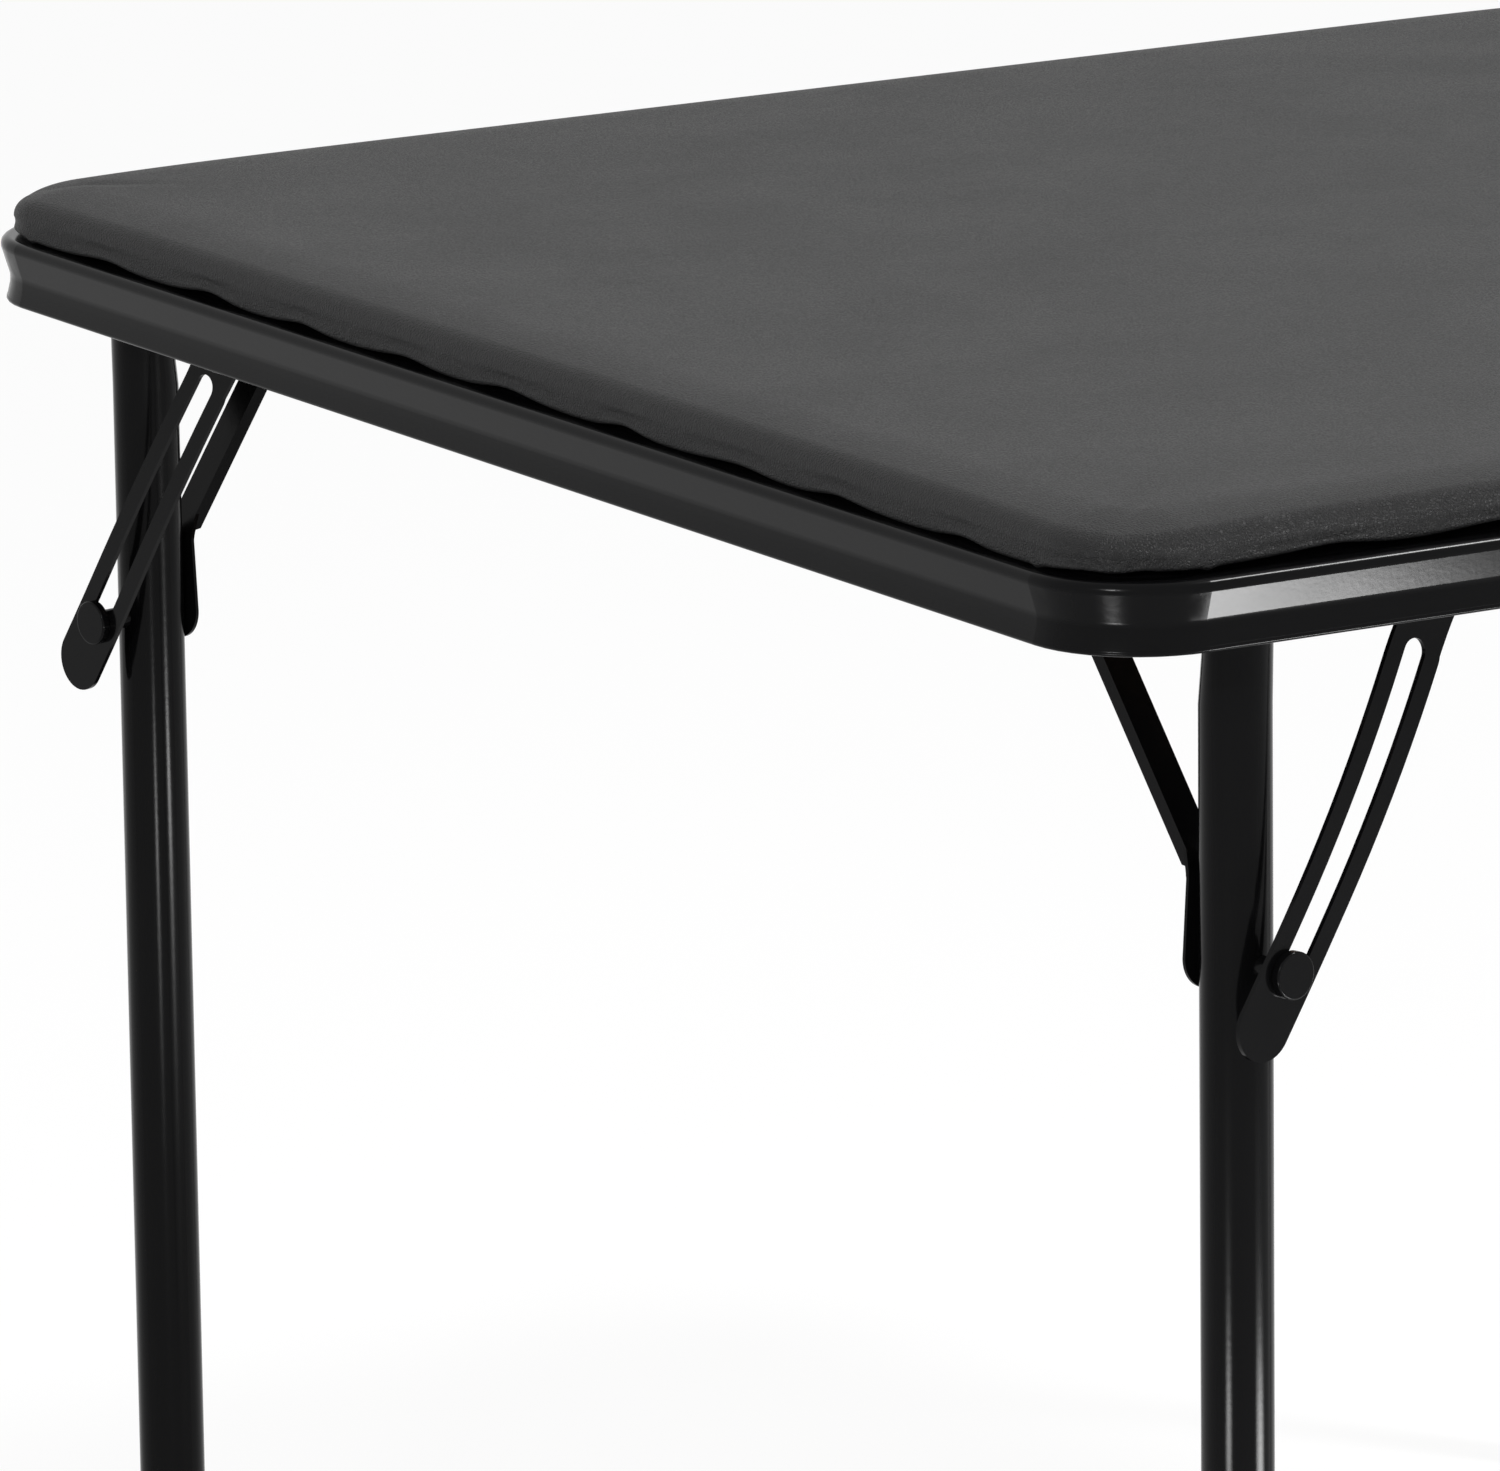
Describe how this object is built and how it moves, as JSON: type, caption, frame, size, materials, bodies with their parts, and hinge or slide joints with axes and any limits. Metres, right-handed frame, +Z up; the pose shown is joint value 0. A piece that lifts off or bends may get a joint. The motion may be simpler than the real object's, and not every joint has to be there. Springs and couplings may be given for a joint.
{
  "type": "folding card table",
  "caption": "Square folding card table with a padded vinyl top, a rolled steel rim and corner legs that fold flat under it on slotted lock braces.",
  "frame": {"origin": "on the floor under the middle of the top", "axes": "+Z up, X and Y along the top's sides; leg 1 stands at the corner (-X, -Y) and folds towards +X, and the other legs follow clockwise as seen from above"},
  "size_m": [0.914, 0.914, 0.711],
  "materials": {
    "black_enamel": "gloss baked enamel on steel",
    "black_vinyl": "fine-grained vinyl with a soft sheen",
    "hardboard": "plain hardboard",
    "foam": "open-cell foam sheet",
    "zinc_steel": "zinc-plated",
    "black_rubber": "moulded, matt"
  },
  "bodies": {
    "frame": {"rim_frame": "black_enamel", "top_board": "hardboard", "foam_pad": "foam", "vinyl_cover": "black_vinyl", "board_screws": "zinc_steel", "corner_bracket_1": "black_enamel", "corner_bracket_2": "black_enamel", "corner_bracket_3": "black_enamel", "corner_bracket_4": "black_enamel", "pivot_rod_1": "zinc_steel", "pivot_rod_2": "zinc_steel", "pivot_rod_3": "zinc_steel", "pivot_rod_4": "zinc_steel", "rod_clip_1": "zinc_steel", "rod_clip_2": "zinc_steel", "rod_clip_3": "zinc_steel", "rod_clip_4": "zinc_steel", "brace_rivet_1": "black_enamel", "brace_rivet_2": "black_enamel", "brace_rivet_3": "black_enamel", "brace_rivet_4": "black_enamel"},
    "leg_1": {"leg_tube_1": "black_enamel", "inner_strut_1": "black_enamel", "leg_pin_1": "zinc_steel", "foot_cap_1": "black_rubber"},
    "brace_1": {"slotted_brace_1": "black_enamel"},
    "stud_1": {"brace_stud_1": "black_enamel"},
    "leg_2": {"leg_tube_2": "black_enamel", "inner_strut_2": "black_enamel", "leg_pin_2": "zinc_steel", "foot_cap_2": "black_rubber"},
    "brace_2": {"slotted_brace_2": "black_enamel"},
    "stud_2": {"brace_stud_2": "black_enamel"},
    "leg_3": {"leg_tube_3": "black_enamel", "inner_strut_3": "black_enamel", "leg_pin_3": "zinc_steel", "foot_cap_3": "black_rubber"},
    "brace_3": {"slotted_brace_3": "black_enamel"},
    "stud_3": {"brace_stud_3": "black_enamel"},
    "leg_4": {"leg_tube_4": "black_enamel", "inner_strut_4": "black_enamel", "leg_pin_4": "zinc_steel", "foot_cap_4": "black_rubber"},
    "brace_4": {"slotted_brace_4": "black_enamel"},
    "stud_4": {"brace_stud_4": "black_enamel"}
  },
  "joints": [
    {"name": "leg_fold_1", "type": "hinge", "parent": "frame", "child": "leg_1", "pos_m": [-0.3685, -0.4145, 0.671], "axis": [0.1599, -0.9871, 0], "range_deg": [0, 90]},
    {"name": "brace_turn_1", "type": "hinge", "parent": "frame", "child": "brace_1", "pos_m": [-0.28953, -0.40171, 0.671], "axis": [0.1599, -0.9871, 0], "range_deg": [0, 113.09]},
    {"name": "stud_slide_1", "type": "hinge", "parent": "brace_1", "child": "stud_1", "pos_m": [-2.16595, -0.70562, 1.76168], "axis": [0.1599, -0.9871, 0], "range_deg": [0, 2.64]},
    {"name": "leg_fold_2", "type": "hinge", "parent": "frame", "child": "leg_2", "pos_m": [-0.4145, 0.3685, 0.671], "axis": [-0.9871, -0.1599, 0], "range_deg": [0, 90]},
    {"name": "brace_turn_2", "type": "hinge", "parent": "frame", "child": "brace_2", "pos_m": [-0.40171, 0.28953, 0.671], "axis": [-0.9871, -0.1599, 0], "range_deg": [0, 113.09]},
    {"name": "stud_slide_2", "type": "hinge", "parent": "brace_2", "child": "stud_2", "pos_m": [-0.70562, 2.16595, 1.76168], "axis": [-0.9871, -0.1599, 0], "range_deg": [0, 2.64]},
    {"name": "leg_fold_3", "type": "hinge", "parent": "frame", "child": "leg_3", "pos_m": [0.3685, 0.4145, 0.671], "axis": [-0.1599, 0.9871, 0], "range_deg": [0, 90]},
    {"name": "brace_turn_3", "type": "hinge", "parent": "frame", "child": "brace_3", "pos_m": [0.28953, 0.40171, 0.671], "axis": [-0.1599, 0.9871, 0], "range_deg": [0, 113.09]},
    {"name": "stud_slide_3", "type": "hinge", "parent": "brace_3", "child": "stud_3", "pos_m": [2.16595, 0.70562, 1.76168], "axis": [-0.1599, 0.9871, 0], "range_deg": [0, 2.64]},
    {"name": "leg_fold_4", "type": "hinge", "parent": "frame", "child": "leg_4", "pos_m": [0.4145, -0.3685, 0.671], "axis": [0.9871, 0.1599, 0], "range_deg": [0, 90]},
    {"name": "brace_turn_4", "type": "hinge", "parent": "frame", "child": "brace_4", "pos_m": [0.40171, -0.28953, 0.671], "axis": [0.9871, 0.1599, 0], "range_deg": [0, 113.09]},
    {"name": "stud_slide_4", "type": "hinge", "parent": "brace_4", "child": "stud_4", "pos_m": [0.70562, -2.16595, 1.76168], "axis": [0.9871, 0.1599, 0], "range_deg": [0, 2.64]}
  ],
  "couplings": [
    {"joint": "brace_turn_1", "follows": "leg_fold_1", "ratio": 1.2565},
    {"joint": "stud_slide_1", "follows": "leg_fold_1", "ratio": 0.029315},
    {"joint": "brace_turn_2", "follows": "leg_fold_2", "ratio": 1.2565},
    {"joint": "stud_slide_2", "follows": "leg_fold_2", "ratio": 0.029315},
    {"joint": "brace_turn_3", "follows": "leg_fold_3", "ratio": 1.2565},
    {"joint": "stud_slide_3", "follows": "leg_fold_3", "ratio": 0.029315},
    {"joint": "brace_turn_4", "follows": "leg_fold_4", "ratio": 1.2565},
    {"joint": "stud_slide_4", "follows": "leg_fold_4", "ratio": 0.029315}
  ]
}
